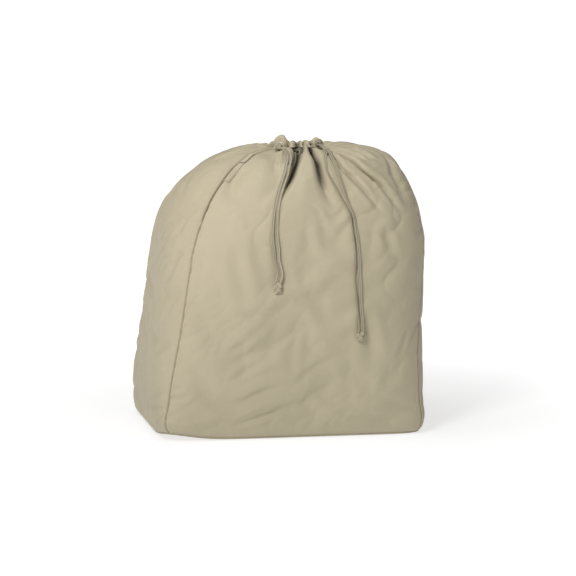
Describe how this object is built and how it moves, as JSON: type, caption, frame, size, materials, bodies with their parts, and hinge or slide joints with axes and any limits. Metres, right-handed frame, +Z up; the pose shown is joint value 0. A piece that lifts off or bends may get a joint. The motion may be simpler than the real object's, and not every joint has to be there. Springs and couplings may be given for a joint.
{
  "type": "drawstring storage bag",
  "caption": "Large fabric storage bag with a flat boxed base and a gathered drawstring mouth, shown standing filled, with knotted cord tails on the front.",
  "frame": {"origin": "bottom centre of the bag's own box, cords left out, on the surface it stands on", "axes": "+Z up, -Y is the front with the cord tails, +X is the viewer's right when facing the front"},
  "size_m": [0.601, 0.4343, 0.614],
  "materials": {
    "bag_fabric": "matte, tightly woven polyester with a light coating",
    "binding_tape": "matte woven binding tape",
    "drawcord": "matte, folded self-fabric cord",
    "eyelet_metal": "satin nickel plate",
    "label_weave": "woven satin label",
    "thread": "polyester thread"
  },
  "bodies": {
    "root": {"front_panel": "bag_fabric", "back_panel": "bag_fabric", "left_side_panel": "bag_fabric", "right_side_panel": "bag_fabric", "bottom_panel": "bag_fabric", "bottom_seam_binding": "binding_tape", "front_left_seam_binding": "binding_tape", "front_right_seam_binding": "binding_tape", "back_left_seam_binding": "binding_tape", "back_right_seam_binding": "binding_tape", "front_casing": "bag_fabric", "back_casing": "bag_fabric", "left_drawcord_loop": "drawcord", "right_drawcord_loop": "drawcord", "left_eyelet": "eyelet_metal", "right_eyelet": "eyelet_metal", "left_eyelet_washer": "eyelet_metal", "right_eyelet_washer": "eyelet_metal", "slit_facing": "bag_fabric", "bar_tack": "thread"},
    "left_cord_exit": {"left_cord_stub": "drawcord"},
    "left_tail": {"left_tail_strand_a": "drawcord", "left_tail_strand_b": "drawcord", "left_knot": "drawcord"},
    "right_cord_exit": {"right_cord_stub": "drawcord"},
    "right_tail": {"right_tail_strand_a": "drawcord", "right_tail_strand_b": "drawcord", "right_knot": "drawcord"},
    "label": {"woven_label": "label_weave"}
  },
  "joints": [
    {"name": "left_cord_pull", "type": "slide", "parent": "root", "child": "left_cord_exit", "axis": [-0.7431, -0.6691, 0], "range_m": [0, 0.006]},
    {"name": "left_tail_lift", "type": "hinge", "parent": "left_cord_exit", "child": "left_tail", "pos_m": [-0.01407, -0.04149, 0.604], "axis": [-1, 0, 0], "range_deg": [0, 75]},
    {"name": "right_cord_pull", "type": "slide", "parent": "root", "child": "right_cord_exit", "axis": [0.7193, -0.6947, 0], "range_m": [0, 0.006]},
    {"name": "right_tail_lift", "type": "hinge", "parent": "right_cord_exit", "child": "right_tail", "pos_m": [0.0766, -0.04307, 0.604], "axis": [-1, 0, 0], "range_deg": [0, 75]},
    {"name": "label_flip", "type": "hinge", "parent": "root", "child": "label", "pos_m": [-0.09139, -0.0791, 0.58543], "axis": [-0.687, -0.6284, -0.3649], "range_deg": [0, 100]}
  ]
}
